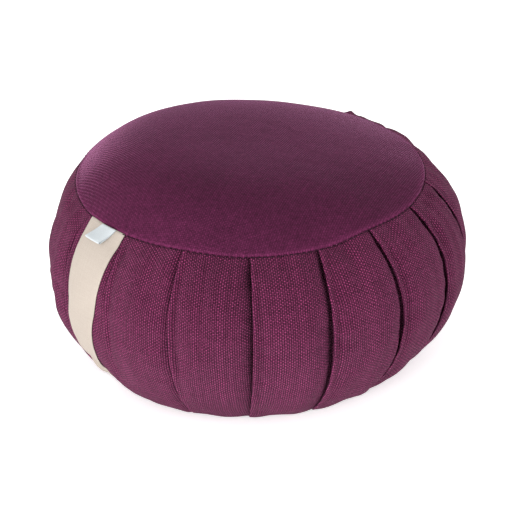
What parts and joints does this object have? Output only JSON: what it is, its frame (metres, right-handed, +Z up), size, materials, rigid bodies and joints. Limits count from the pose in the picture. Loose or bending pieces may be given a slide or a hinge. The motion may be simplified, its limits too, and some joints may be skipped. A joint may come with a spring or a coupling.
{
  "type": "zafu meditation cushion",
  "caption": "Round filled floor cushion with a knife-pleated side band, a crowned top, a flat base and one contrasting vertical strip.",
  "frame": {"origin": "middle of the base, on the surface that the cushion stands on", "axes": "+Z up through the middle of the crown, -Y towards the front as pictured, +X to the right"},
  "size_m": [0.3541, 0.3544, 0.1899],
  "materials": {
    "band_cloth": "matt plum canvas",
    "top_cloth": "matt plum canvas",
    "base_cloth": "matt plum canvas",
    "strip_cloth": "matt cream canvas",
    "tab_cloth": "smooth woven tape"
  },
  "bodies": {
    "root": {"cushion_body": "band_cloth", "top_panel": "top_cloth", "bottom_panel": "base_cloth", "cream_strip": "strip_cloth", "side_tab": "tab_cloth"}
  },
  "joints": []
}
